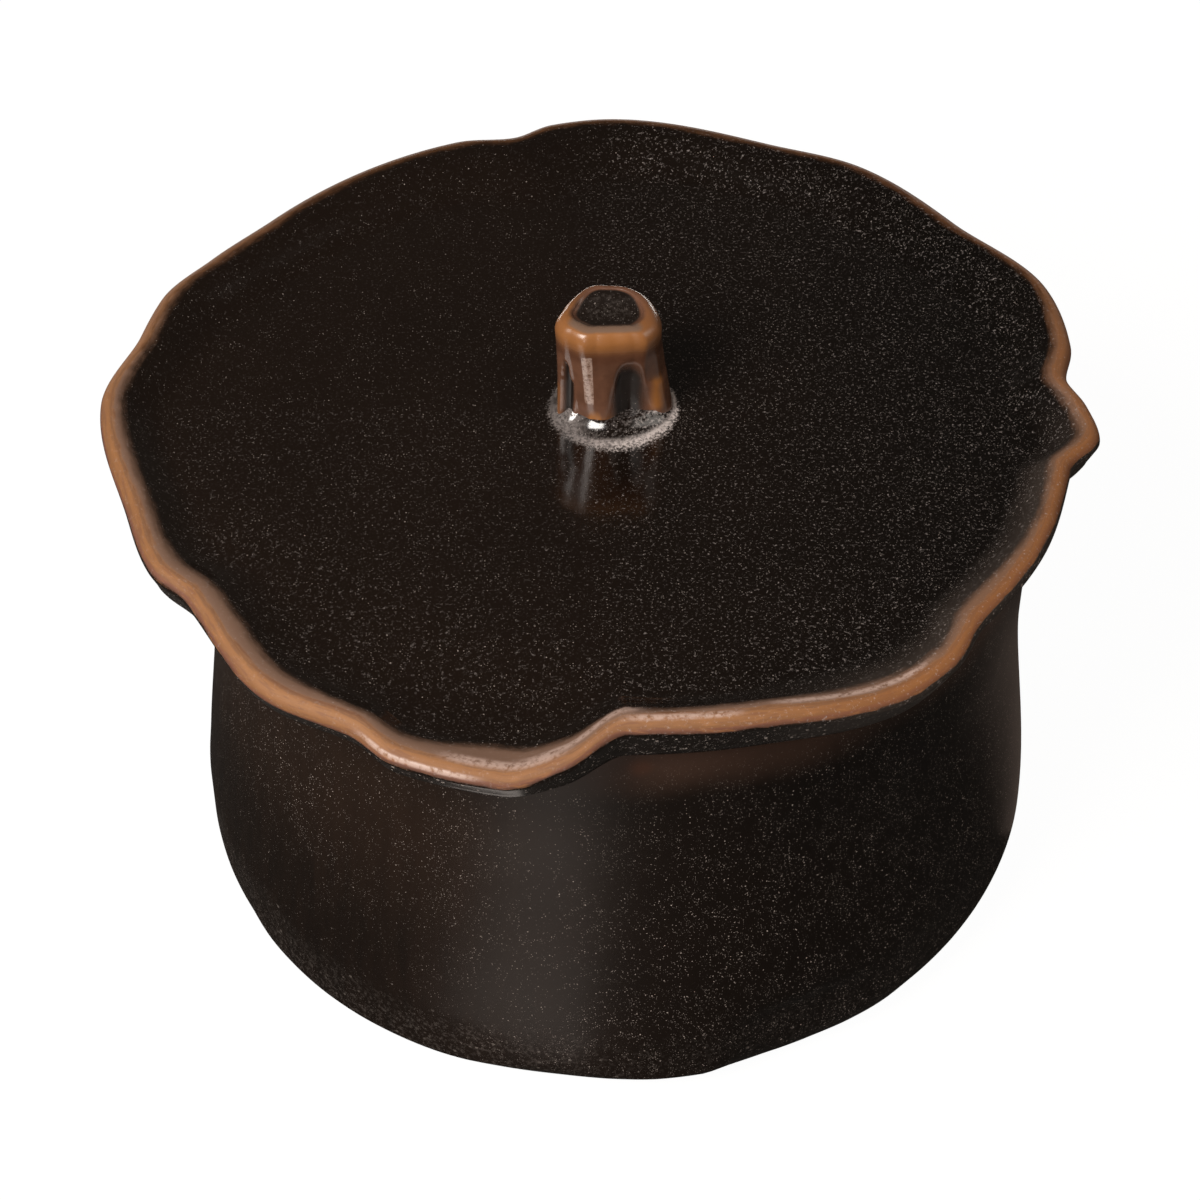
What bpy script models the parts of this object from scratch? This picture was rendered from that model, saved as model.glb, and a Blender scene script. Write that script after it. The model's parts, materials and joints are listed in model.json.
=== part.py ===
"""Squat stoneware jar with a wavy leaf-shaped lid.

Lengths are in metres and +Z is up. The origin is on the table, under the middle of the foot and on
the axis that the jar, its mouth and the lid's knob share. The front of the jar faces -Y.
"""

from bisect import bisect_right
from math import atan2, cos, degrees, hypot, radians, sin

import bpy

COLLECTION_NAME = "leaf_lid_jar"

# Gap that touching pieces keep, where glaze or slip joins or parts them
SEAT_GAP = 0.0003

# Foot: a low disc of bare clay under the jar
FOOT_RADIUS = 0.0490
FOOT_HEIGHT = 0.0015
FOOT_CHAMFER = 0.0005

# Jar: its rim stands this high above the table
JAR_HEIGHT = 0.0709
RIM_RADIUS = 0.0575
# How much slimmer than the rim the waist is, and how much wider the belly is
WAIST_INSET = 0.0005
BELLY_SPREAD = 0.0028
CORNER_WIDTH = 0.0060
CORNER_HEIGHT = 0.0060
JAR_WALL = 0.0042
JAR_FLOOR = 0.0045
RIM_ROUNDING = 0.0014
INNER_CORNER = 0.0080
# How high up the straight part of the wall the waist is, from the belly at 0 to the rim at 1
WAIST_SHARE = 0.62

# Lid: a flat plate with a rounded lip raised round its edge
PLATE_THICKNESS = 0.0040
LIP_RADIUS = 0.0019
LIP_LIFT = 0.0016
LIP_OVERHANG = 0.0065
EDGE_ROUNDING = 0.0023
EDGE_TAPER = 0.0005
RISE_WIDTH = 0.0085
# The plate starts to follow the wavy edge this far inside the jar's rim
WAVE_START = 0.0120

# Ring under the lid, which drops into the jar's mouth
RING_CLEARANCE = 0.0012
RING_WALL = 0.0035
RING_DEPTH = 0.0090
RING_CHAMFER = 0.0010

# Knob: a cut stem, squarer at the top, with hollows that die out below its rim
KNOB_HEIGHT = 0.0160
KNOB_RADIUS = 0.0070
KNOB_FLARE = 0.0007
KNOB_RIM_ROUNDING = 0.0017
KNOB_DISH = 0.0005
# The foot of the stem is this far left of the jar's axis and behind it
KNOB_SHIFT = 0.0004
KNOB_SETBACK = 0.0006
# How far the stem leans to the left between its foot and its rim
KNOB_LEAN = 0.0010

# Leaf edge: direction in degrees from +X towards the back, then how far the lip reaches there past
# its usual overhang, how far it rises above the lip line, and how far the edge is cut in below it,
# each as a share of the usual overhang
LEAF_EDGE = [
    (2, -0.48, 0.06, 0.06),
    (9, -0.15, 0.0, 0.0),
    (20, 0.02, 0.0, 0.0),
    (37, -0.48, 0.0, 0.0),
    (54, -0.35, 0.0, 0.0),
    (68, -0.58, 0.0, 0.0),
    (91, -0.29, 0.0, 0.0),
    (99, -0.40, 0.0, 0.0),
    (105, -0.71, 0.0, 0.0),
    (113, -0.45, 0.0, 0.0),
    (143, -0.28, 0.0, 0.0),
    (154, 0.03, 0.0, 0.0),
    (163, 0.40, 0.0, 0.0),
    (170, 0.42, 0.0, 0.0),
    (182, 0.86, 0.0, 0.0),
    (199, 0.63, 0.0, 0.06),
    (210, 0.77, -0.06, 0.15),
    (216, 0.55, -0.12, 0.15),
    (231, 0.91, -0.38, 0.09),
    (241, 0.71, -0.43, 0.06),
    (247, 0.92, -0.58, 0.0),
    (258, 0.88, -0.62, 0.0),
    (264, 0.57, -0.37, 0.0),
    (271, -0.08, 0.05, 0.0),
    (285, 0.05, 0.03, 0.06),
    (303, 0.40, -0.18, 0.18),
    (309, 0.31, -0.11, 0.25),
    (316, -0.05, 0.0, 0.28),
    (330, -0.18, 0.0, 0.28),
    (345, -0.37, 0.0, 0.15),
    (352, 0.12, -0.06, 0.22),
    (357, -0.12, 0.0, 0.12),
]

# Knob outline: direction in degrees, then the radius at the foot of the stem and the radius at its
# rim, as shares of the turned radius: ridges and hollows below, a soft four-sided rim above
KNOB_OUTLINE = [
    (10, 0.98, 0.94),
    (35, 0.80, 0.90),
    (60, 0.88, 0.85),
    (90, 0.72, 0.80),
    (115, 0.84, 0.86),
    (146, 0.76, 0.82),
    (175, 0.94, 0.89),
    (200, 1.06, 1.06),
    (212, 1.03, 1.05),
    (222, 0.84, 1.00),
    (238, 0.83, 0.97),
    (256, 0.75, 0.85),
    (276, 0.61, 0.82),
    (300, 0.54, 0.92),
    (315, 0.62, 1.07),
    (334, 0.97, 1.08),
    (350, 1.03, 1.02),
]

# How many flat sides each round piece has, and how many steps the walls have from foot to rim
JAR_STEPS = 64
LID_STEPS = 120
KNOB_STEPS = 48
WALL_STEPS = 8
KNOB_SIDE_STEPS = 5

# Places that follow from the sizes above
BASE_HEIGHT = FOOT_HEIGHT + SEAT_GAP
FLOOR_HEIGHT = BASE_HEIGHT + JAR_FLOOR
BELLY_HEIGHT = BASE_HEIGHT + CORNER_HEIGHT
WAIST_RADIUS = RIM_RADIUS - WAIST_INSET
BELLY_RADIUS = RIM_RADIUS + BELLY_SPREAD
MOUTH_RADIUS = RIM_RADIUS - JAR_WALL
PLATE_BOTTOM = JAR_HEIGHT + SEAT_GAP
PLATE_TOP = PLATE_BOTTOM + PLATE_THICKNESS
LIP_HEIGHT = PLATE_TOP + LIP_LIFT
LID_RADIUS = RIM_RADIUS + LIP_OVERHANG
LIP_START = LID_RADIUS - 2 * LIP_RADIUS
FOLLOW_START = RIM_RADIUS - WAVE_START
KNOB_BOTTOM = PLATE_TOP + SEAT_GAP

MERGE = 0.00001


def arc(centre, radii, start, end, steps):
    """Points on an ellipse quarter or less, from one direction in degrees to another."""
    points = []
    for step in range(steps + 1):
        angle = radians(start + (end - start) * step / steps)
        points.append((centre[0] + radii[0] * cos(angle), centre[1] + radii[1] * sin(angle)))
    return points


def hermite(share, low, high, low_slope, high_slope, width):
    """Cubic value between two knots that are width apart."""
    square = share * share
    cube = square * share
    value = low * (2 * cube - 3 * square + 1) + high * (3 * square - 2 * cube)
    return value + width * (low_slope * (cube - 2 * square + share) + high_slope * (cube - square))


def closed_curve(knots, column):
    """Function of a direction in degrees that runs smoothly through one column of the knots."""
    places = [knot[0] for knot in knots]
    values = [knot[column] for knot in knots]
    count = len(knots)
    gaps = [(places[(i + 1) % count] - places[i]) % 360 for i in range(count)]
    rates = [(values[(i + 1) % count] - values[i]) / gaps[i] for i in range(count)]
    slopes = []
    for i in range(count):
        before, after = rates[i - 1], rates[i]
        # A knot at a crest or a hollow is level, so the curve never passes beyond its knots
        if before * after <= 0:
            slopes.append(0.0)
            continue
        outer, inner = gaps[i] + 2 * gaps[i - 1], 2 * gaps[i] + gaps[i - 1]
        slopes.append((outer + inner) / (outer / before + inner / after))

    def value(direction):
        direction = direction % 360
        i = bisect_right(places, direction) - 1
        share = ((direction - places[i]) % 360) / gaps[i]
        following = (i + 1) % count
        return hermite(share, values[i], values[following], slopes[i], slopes[following], gaps[i])

    return value


def ease(share):
    """Smooth step from 0 to 1."""
    share = min(max(share, 0.0), 1.0)
    return share * share * (3 - 2 * share)


def material(name, colour, roughness):
    made = bpy.data.materials.new(name)
    made.use_nodes = True
    shader = made.node_tree.nodes["Principled BSDF"]
    shader.inputs["Base Color"].default_value = (*colour, 1.0)
    shader.inputs["Roughness"].default_value = roughness
    return made


def turned(name, profile, steps, finish, collection, ring=False):
    """A profile of (radius, height) points turned about Z, which runs down its outer side."""
    mesh = bpy.data.meshes.new(name)
    edges = [(i, i + 1) for i in range(len(profile) - 1)]
    if ring:
        edges.append((len(profile) - 1, 0))
    mesh.from_pydata([(radius, 0.0, height) for radius, height in profile], edges, [])
    mesh.materials.append(finish)
    made = bpy.data.objects.new(name, mesh)
    collection.objects.link(made)
    screw = made.modifiers.new("turn", "SCREW")
    screw.axis = "Z"
    screw.steps = steps
    screw.render_steps = steps
    screw.use_merge_vertices = True
    screw.merge_threshold = MERGE
    screw.use_smooth_shade = True
    return made


def reshaped(piece, move):
    """The turned piece with its turning made real and each point then moved by a function."""
    evaluated = piece.evaluated_get(bpy.context.evaluated_depsgraph_get())
    mesh = bpy.data.meshes.new_from_object(evaluated)
    mesh.name = piece.name
    piece.modifiers.clear()
    piece.data = mesh
    for vertex in mesh.vertices:
        vertex.co = move(*vertex.co)
    mesh.shade_smooth()
    return piece


def seated(piece, parent, height):
    """Stands a piece at a height on the jar's axis, under its parent."""
    piece.parent = parent
    piece.location.z = height - (parent.location.z if parent else 0.0)
    return piece


def make_foot(collection, clay):
    low = FOOT_RADIUS - FOOT_CHAMFER
    profile = [
        (0.0, FOOT_HEIGHT),
        (FOOT_RADIUS, FOOT_HEIGHT),
        (FOOT_RADIUS, FOOT_CHAMFER),
        (low, 0.0),
        (0.0, 0.0),
    ]
    return turned("foot", profile, JAR_STEPS, clay, collection)


def jar_wall_radius(height):
    """Outer radius of the jar's wall between its belly and its rim."""
    share = (height - BELLY_HEIGHT) / (JAR_HEIGHT - BELLY_HEIGHT)
    if share < WAIST_SHARE:
        return BELLY_RADIUS + (WAIST_RADIUS - BELLY_RADIUS) * ease(share / WAIST_SHARE)
    flare = (share - WAIST_SHARE) / (1.0 - WAIST_SHARE)
    return WAIST_RADIUS + (RIM_RADIUS - WAIST_RADIUS) * flare * flare


def make_jar(collection, glaze):
    rim_low = JAR_HEIGHT - RIM_ROUNDING
    inner_low = FLOOR_HEIGHT + INNER_CORNER
    shares = [step / WALL_STEPS for step in range(WALL_STEPS)]
    heights = [BELLY_HEIGHT + (rim_low - BELLY_HEIGHT) * share for share in shares]
    inner_heights = [inner_low + (rim_low - inner_low) * share for share in shares]
    inner_foot = jar_wall_radius(inner_low) - JAR_WALL - INNER_CORNER

    profile = [(0.0, FLOOR_HEIGHT)]
    profile += arc((inner_foot, inner_low), (INNER_CORNER, INNER_CORNER), -90, 0, 4)[:-1]
    profile += [(jar_wall_radius(height) - JAR_WALL, height) for height in inner_heights]
    profile += arc((MOUTH_RADIUS + RIM_ROUNDING, rim_low), (RIM_ROUNDING, RIM_ROUNDING), 180, 90, 3)
    profile += arc((RIM_RADIUS - RIM_ROUNDING, rim_low), (RIM_ROUNDING, RIM_ROUNDING), 90, 0, 3)
    profile += [(jar_wall_radius(height), height) for height in reversed(heights)]
    corner = (BELLY_RADIUS - CORNER_WIDTH, BELLY_HEIGHT)
    profile += arc(corner, (CORNER_WIDTH, CORNER_HEIGHT), 0, -90, 5)[1:]
    profile += [(0.0, BASE_HEIGHT)]
    return turned("jar_body", profile, JAR_STEPS, glaze, collection)


def make_ring(collection, clay):
    # The ring clears the narrowest place that it passes: the mouth, or the wall beside its foot
    beside_foot = jar_wall_radius(JAR_HEIGHT - RING_DEPTH) - JAR_WALL
    outer = min(MOUTH_RADIUS, beside_foot) - RING_CLEARANCE
    inner = outer - RING_WALL
    profile = [
        (inner, 0.0),
        (outer, 0.0),
        (outer, RING_CHAMFER - RING_DEPTH),
        (outer - RING_CHAMFER, -RING_DEPTH),
        (inner + RING_CHAMFER, -RING_DEPTH),
        (inner, RING_CHAMFER - RING_DEPTH),
    ]
    return turned("lid_ring", profile, JAR_STEPS, clay, collection, ring=True)


def lid_profile():
    """Section of the lid with a plain round edge; heights are from the plate's underside."""
    lip = PLATE_THICKNESS + LIP_LIFT
    edge = LID_RADIUS - EDGE_TAPER
    lip_centre = (LID_RADIUS - LIP_RADIUS, lip)
    inner_lip = arc(lip_centre, (LIP_RADIUS, LIP_RADIUS), 140, 0, 8)
    rise_start = LIP_START - RISE_WIDTH
    rise_end, rise_top = inner_lip[0]
    rise = []
    for step in (1, 2, 3):
        share = step / 4
        radius = rise_start + (rise_end - rise_start) * share
        rise.append((radius, PLATE_THICKNESS + (rise_top - PLATE_THICKNESS) * share ** 2))

    profile = [(0.0, PLATE_THICKNESS), (FOLLOW_START, PLATE_THICKNESS)]
    profile += [(rise_start, PLATE_THICKNESS)] + rise + inner_lip
    profile += arc((edge - EDGE_ROUNDING, EDGE_ROUNDING), (EDGE_ROUNDING, EDGE_ROUNDING), 0, -90, 4)
    profile += [(MOUTH_RADIUS, 0.0), (0.0, 0.0)]
    return profile


def leaf_move(x, y, z):
    """Draws a point of the plain round lid out, in, up or down with the wavy leaf edge."""
    radius = hypot(x, y)
    if radius < MERGE:
        return x, y, z
    direction = degrees(atan2(y, x))
    height = min(z / (PLATE_THICKNESS + LIP_LIFT), 1.0)
    if z > PLATE_THICKNESS / 2:
        follow = ease((radius - FOLLOW_START) / (LIP_START - FOLLOW_START))
    else:
        follow = min(max((radius - MOUTH_RADIUS) / (LIP_START - MOUTH_RADIUS), 0.0), 1.0)
    reach = LEAF_REACH(direction) - LEAF_UNDERCUT(direction) * (1.0 - height)
    rise = LEAF_RISE(direction) * height ** 0.5
    scale = 1.0 + LIP_OVERHANG * reach * follow / radius
    return x * scale, y * scale, z + LIP_OVERHANG * rise * follow


def make_lid(collection, glaze):
    plain = turned("lid_leaf", lid_profile(), LID_STEPS, glaze, collection)
    return reshaped(plain, leaf_move)


def knob_move(x, y, z):
    """Draws a point of the plain turned knob to its ridges and hollows, and leans and places it."""
    direction = degrees(atan2(y, x))
    height = z / KNOB_HEIGHT
    foot, top = KNOB_FOOT(direction), KNOB_TOP(direction)
    share = foot + (top - foot) * ease(height)
    return x * share - KNOB_SHIFT - KNOB_LEAN * height, y * share + KNOB_SETBACK, z


def make_knob(collection, glaze):
    rounding = KNOB_RIM_ROUNDING
    crest = KNOB_RADIUS - rounding
    shoulder = KNOB_HEIGHT - rounding
    inner = crest - rounding
    dish = KNOB_HEIGHT - KNOB_DISH
    profile = [(0.0, dish), (inner, dish)]
    profile += arc((crest, shoulder), (rounding, rounding), 110, 0, 5)
    for step in range(1, KNOB_SIDE_STEPS + 1):
        share = step / KNOB_SIDE_STEPS
        profile.append((KNOB_RADIUS + KNOB_FLARE * share ** 2, shoulder * (1 - share)))
    profile += [(0.0, 0.0)]
    plain = turned("knob", profile, KNOB_STEPS, glaze, collection)
    return reshaped(plain, knob_move)


LEAF_REACH = closed_curve(LEAF_EDGE, 1)
LEAF_RISE = closed_curve(LEAF_EDGE, 2)
LEAF_UNDERCUT = closed_curve(LEAF_EDGE, 3)
KNOB_FOOT = closed_curve(KNOB_OUTLINE, 1)
KNOB_TOP = closed_curve(KNOB_OUTLINE, 2)


def main():
    for old in list(bpy.data.objects):
        bpy.data.objects.remove(old, do_unlink=True)
    parts = bpy.data.collections.new(COLLECTION_NAME)
    bpy.context.scene.collection.children.link(parts)

    jar_glaze = material("jar_glaze", (0.016, 0.010, 0.008), 0.34)
    lid_glaze = material("lid_glaze", (0.013, 0.008, 0.006), 0.30)
    knob_glaze = material("knob_glaze", (0.160, 0.070, 0.030), 0.30)
    bare_clay = material("bare_clay", (0.110, 0.052, 0.032), 0.85)

    # The lid lifts along the jar's axis, from its seat on the rim
    lid_lift = bpy.data.objects.new("lid_lift", None)
    lid_lift.location = (0.0, 0.0, PLATE_BOTTOM)
    parts.objects.link(lid_lift)
    bpy.context.view_layer.update()

    seated(make_foot(parts, bare_clay), None, 0.0)
    seated(make_jar(parts, jar_glaze), None, 0.0)
    seated(make_ring(parts, bare_clay), lid_lift, PLATE_BOTTOM - SEAT_GAP)
    seated(make_lid(parts, lid_glaze), lid_lift, PLATE_BOTTOM)
    seated(make_knob(parts, knob_glaze), lid_lift, KNOB_BOTTOM)


main()
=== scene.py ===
"""Looks for a squat stoneware jar with a wavy leaf-shaped lid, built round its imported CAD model."""

import json
from bisect import bisect_right
from math import atan2, cos, degrees, dist, hypot, pi, radians, sin

import bmesh
import bpy
from bpy.props import FloatProperty, FloatVectorProperty, PointerProperty
from mathutils import Matrix, Vector, noise

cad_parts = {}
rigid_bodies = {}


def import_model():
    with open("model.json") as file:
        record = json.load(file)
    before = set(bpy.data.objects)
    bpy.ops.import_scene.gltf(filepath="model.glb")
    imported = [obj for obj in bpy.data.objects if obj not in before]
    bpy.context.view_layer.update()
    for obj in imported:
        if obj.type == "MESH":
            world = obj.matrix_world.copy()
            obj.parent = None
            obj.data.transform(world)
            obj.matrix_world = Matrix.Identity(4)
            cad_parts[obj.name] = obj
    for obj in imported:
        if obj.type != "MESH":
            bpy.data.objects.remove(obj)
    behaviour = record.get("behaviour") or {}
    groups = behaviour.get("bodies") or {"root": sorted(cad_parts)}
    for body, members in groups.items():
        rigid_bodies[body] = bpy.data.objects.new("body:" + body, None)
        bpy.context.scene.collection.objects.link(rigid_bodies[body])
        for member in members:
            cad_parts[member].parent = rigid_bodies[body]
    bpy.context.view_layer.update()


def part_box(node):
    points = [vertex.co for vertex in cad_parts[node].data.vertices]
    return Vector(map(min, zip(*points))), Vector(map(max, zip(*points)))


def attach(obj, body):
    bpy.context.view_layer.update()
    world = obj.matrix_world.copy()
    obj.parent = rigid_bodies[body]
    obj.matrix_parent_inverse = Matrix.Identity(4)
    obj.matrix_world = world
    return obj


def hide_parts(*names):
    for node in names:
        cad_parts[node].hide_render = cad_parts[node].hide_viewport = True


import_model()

bl_info = {
    "name": "Leaf Lid Jar",
    "version": (1, 0, 0),
    "blender": (4, 5, 0),
    "location": "View3D > Sidebar > Leaf Lid Jar",
    "description": "Builds a glazed stoneware jar with a leaf-shaped lid, and its studio",
    "category": "Add Mesh",
}

FOOT_LOW, FOOT_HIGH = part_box("foot")
JAR_LOW, JAR_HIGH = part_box("jar_body")
RING_LOW, RING_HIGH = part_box("lid_ring")
KNOB_LOW, KNOB_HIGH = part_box("knob")
# Height of the plate's underside, a film above the jar's rim; the lobes of the leaf droop below it
LID_BASE = JAR_HIGH.z + 0.0003
# The knob's axis, from the jar's, and the middle of the glaze pooled round it, from the knob's axis
KNOB_SHIFT = (-0.0004, 0.0006)
POOL_SHIFT = (-0.0003, -0.0014)
# Share of the knob's height above which its rim and dish lie, and the directions in degrees at
# which the rim is most amber and the painted highlight on its inner edge strongest
KNOB_RIM_START = 0.9
AMBER_FRONT, RIM_HIGHLIGHT_FRONT = 258, 264

# Height of the fine relief that the crystals give a glaze
CRYSTAL_RELIEF = 0.00006
# Tones of the glazes, and of highlights and sheen painted on them, beside the colours that the user
# sets
BROWN_UNDER_LID = (0.086, 0.045, 0.030)
LIP_ORANGE = (0.27, 0.092, 0.018)
LIP_SEAM = (0.115, 0.052, 0.026)
# Painted highlight along stretches of the lip's crest
CREST_HIGHLIGHT_TONE = (0.52, 0.37, 0.31)
# Painted sheen inside the lid's lip at the right front
PAINTED_SHEEN_TONE = (0.070, 0.052, 0.042)
# Painted highlight along the inner edge of the knob's rim, in front
RIM_HIGHLIGHT_TONE = (0.15, 0.105, 0.080)
# Painted highlight down the front left of the knob's stem
STEM_HIGHLIGHT_TONE = (0.36, 0.25, 0.20)

# Leaf edge: direction in degrees from +X towards the back, then how far the lip reaches there past
# its usual overhang, how far it rises above the lip line, and how far the edge is cut in below it,
# each as a share of the usual overhang
LEAF_EDGE = [
    (2, -0.48, 0.06, 0.06),
    (9, -0.15, 0.0, 0.0),
    (20, 0.02, 0.0, 0.0),
    (37, -0.48, 0.0, 0.0),
    (54, -0.35, 0.0, 0.0),
    (68, -0.58, 0.0, 0.0),
    (91, -0.29, 0.0, 0.0),
    (99, -0.40, 0.0, 0.0),
    (105, -0.71, 0.0, 0.0),
    (113, -0.45, 0.0, 0.0),
    (143, -0.28, 0.0, 0.0),
    (154, 0.03, 0.0, 0.0),
    (163, 0.40, 0.0, 0.0),
    (170, 0.42, 0.0, 0.0),
    (182, 0.86, 0.0, 0.0),
    (199, 0.63, 0.0, 0.06),
    (210, 0.77, -0.06, 0.15),
    (216, 0.55, -0.12, 0.15),
    (231, 0.91, -0.38, 0.09),
    (241, 0.71, -0.43, 0.06),
    (247, 0.92, -0.58, 0.0),
    (258, 0.88, -0.62, 0.0),
    (264, 0.57, -0.37, 0.0),
    (271, -0.08, 0.05, 0.0),
    (285, 0.05, 0.03, 0.06),
    (303, 0.40, -0.18, 0.18),
    (309, 0.31, -0.11, 0.25),
    (316, -0.05, 0.0, 0.28),
    (330, -0.18, 0.0, 0.28),
    (345, -0.37, 0.0, 0.15),
    (352, 0.12, -0.06, 0.22),
    (357, -0.12, 0.0, 0.12),
]

# Knob outline: direction in degrees, then the radius at the foot of the stem and the radius at its
# rim, as shares of the turned radius
KNOB_OUTLINE = [
    (10, 0.98, 0.94),
    (35, 0.80, 0.90),
    (60, 0.88, 0.85),
    (90, 0.72, 0.80),
    (115, 0.84, 0.86),
    (146, 0.76, 0.82),
    (175, 0.94, 0.89),
    (200, 1.06, 1.06),
    (212, 1.03, 1.05),
    (222, 0.84, 1.00),
    (238, 0.83, 0.97),
    (256, 0.78, 0.85),
    (276, 0.70, 0.82),
    (300, 0.64, 0.92),
    (315, 0.74, 1.07),
    (334, 0.97, 1.08),
    (350, 1.03, 1.02),
]

# Lip: direction in degrees, the width of the slope that leads up to it, and how far the amber glaze
# reaches from the lip's crest, first inwards over that slope and then outwards down its side
LIP_GLAZE = [
    (5, 0.0075, 0.0012, 0.0029),
    (20, 0.0090, 0.0003, 0.0030),
    (60, 0.0110, 0.0003, 0.0028),
    (86, 0.0115, 0.0003, 0.0026),
    (102, 0.0165, 0.0003, 0.0026),
    (118, 0.0120, 0.0003, 0.0026),
    (140, 0.0100, 0.0005, 0.0028),
    (165, 0.0075, 0.0006, 0.0029),
    (185, 0.0060, 0.0014, 0.0028),
    (195, 0.0063, 0.0015, 0.0030),
    (205, 0.0066, 0.0018, 0.0026),
    (215, 0.0080, 0.0026, 0.0026),
    (225, 0.0088, 0.0026, 0.0029),
    (233, 0.0082, 0.0022, 0.0037),
    (240, 0.0075, 0.0012, 0.0037),
    (247, 0.0078, 0.0024, 0.0029),
    (258, 0.0096, 0.0041, 0.0029),
    (265, 0.0088, 0.0033, 0.0025),
    (273, 0.0070, 0.0013, 0.0028),
    (285, 0.0068, 0.0018, 0.0029),
    (300, 0.0086, 0.0024, 0.0024),
    (310, 0.0080, 0.0013, 0.0022),
    (320, 0.0066, 0.0020, 0.0018),
    (330, 0.0060, 0.0012, 0.0019),
    (338, 0.0060, 0.0008, 0.0023),
    (350, 0.0060, 0.0015, 0.0024),
]

# Marks on the knob's stem: the finish and how strong it is, the direction of its middle and its
# half width in degrees, its lower and upper end as shares of the height, where below 0 is past the
# foot, and over how many degrees it fades
KNOB_MARKS = [
    ("hollow", 1.0, 214, 5, -1.0, 0.62, 10),
    ("hollow", 1.0, 297, 22, -1.0, 0.60, 30),
    ("hollow", 0.9, 35, 11, -1.0, 0.52, 12),
    ("hollow", 1.0, 90, 18, -1.0, 0.60, 16),
    ("hollow", 0.9, 146, 12, -1.0, 0.56, 12),
    ("amber", 1.0, 249, 9, -1.0, 0.17, 9),
    ("amber", 0.45, 263, 18, -1.0, 0.12, 12),
    ("amber", 0.95, 333, 6, 0.12, 0.46, 8),
    ("amber", 0.45, 200, 6, 0.0, 0.34, 8),
    ("amber", 0.40, 60, 9, -1.0, 0.20, 12),
    ("amber", 0.40, 118, 9, 0.0, 0.35, 12),
    ("hollow", 0.26, 333, 20, 0.40, 0.80, 24),
    # Painted highlight: a pale grainy strip down the stem's front left
    ("ash", 1.0, 242, 6, 0.26, 0.77, 3),
]

# Stretches of the lip with a painted highlight, a pale line: direction of the middle and half width
# in degrees, then how far inwards of the crest they lie and half their thickness, in millimetres
CREST_HIGHLIGHT_STRETCHES = [
    (249, 6, -1.9, 0.40),
    (258, 6, 0.5, 0.85),
    (266, 6, 1.3, 0.75),
    (277, 6, -0.4, 0.50),
    (297, 9, 0.7, 0.50),
]

# Small spot on the jar's wall, in front under the lid, where the thin glaze is rust brown
THIN_SPOT = (0.0026, -0.0572, 0.0650)

# Lower corner of the jar: direction in degrees, then how much fuller than even it is there
CORNER_FULLNESS = [
    (20, 0.0),
    (150, 0.0),
    (205, 0.0006),
    (210, 0.0007),
    (214, 0.0015),
    (220, 0.0018),
    (226, 0.0020),
    (231, 0.0018),
    (237, 0.0016),
    (246, 0.0013),
    (256, 0.0003),
    (262, -0.0001),
    (270, 0.0005),
    (276, 0.0009),
    (281, 0.0009),
    (286, -0.0004),
    (292, -0.0017),
    (297, -0.0017),
    (303, -0.0008),
    (309, -0.0004),
    (314, -0.0007),
    (325, -0.0005),
    (334, -0.0003),
    (350, 0.0),
]


def size_setting(name, description, default):
    return FloatProperty(name=name, description=description, default=default, unit="LENGTH")


def colour_setting(name, description, default):
    return FloatVectorProperty(
        name=name, description=description, default=default, subtype="COLOR"
    )


class JarSizes(bpy.types.PropertyGroup):
    wall: size_setting("Wall", "Thickness of the jar's wall", 0.0042)
    floor: size_setting("Floor", "Thickness of the jar's floor", 0.0045)
    waist_inset: size_setting("Waist inset", "How much slimmer the waist is than the rim", 0.0005)
    belly_spread: size_setting("Belly spread", "How much wider the belly is than the rim", 0.0028)
    waist_share: FloatProperty(
        name="Waist height", description="Waist, from belly at 0 to rim at 1", default=0.62
    )
    corner: size_setting("Corner", "Radius of the lower corner", 0.0060)
    unevenness: size_setting(
        "Unevenness", "How far the hand-worked wall dips below the turned one", 0.00022
    )


class LidSizes(bpy.types.PropertyGroup):
    plate: size_setting("Plate", "Thickness of the lid's plate", 0.0040)
    lip_radius: size_setting("Lip radius", "Rounding of the raised lip", 0.0019)
    lip_lift: size_setting("Lip lift", "How far the lip stands up", 0.0016)
    overhang: size_setting("Overhang", "How far the lip usually reaches past the jar's rim", 0.0065)
    pool_radius: size_setting("Pool radius", "Radius of the glaze pooled round the knob", 0.0092)
    pool_height: size_setting(
        "Pool height", "Height of the pooled glaze at the knob's foot", 0.0013
    )


class KnobSizes(bpy.types.PropertyGroup):
    radius: size_setting("Radius", "Turned radius of the knob", 0.0070)
    flare: size_setting("Flare", "How much the foot spreads", 0.0007)
    rim_rounding: size_setting("Rim rounding", "Rounding of the rim", 0.0017)
    dish: size_setting("Dish", "Depth of the dished top", 0.0007)
    lean: size_setting("Lean", "How far the stem leans to the left", 0.0010)


class GlazeColours(bpy.types.PropertyGroup):
    dark: colour_setting("Dark glaze", "Iron glaze where it lies thick", (0.0043, 0.0023, 0.0014))
    amber: colour_setting(
        "Amber glaze", "Glaze where it runs thin over an edge", (0.232, 0.0935, 0.0262)
    )
    rust: colour_setting(
        "Rust glaze", "Glaze between the amber and the dark", (0.135, 0.047, 0.022)
    )
    speckle: colour_setting("Speckle", "Pale crystals in the dark glaze", (0.27, 0.230, 0.205))
    frost_and_highlight: colour_setting(
        "Frost", "Crowded crystals where the glaze pools round the knob", (0.54, 0.475, 0.450)
    )
    clay: colour_setting("Bare clay", "Fired clay without glaze", (0.150, 0.068, 0.038))


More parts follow.
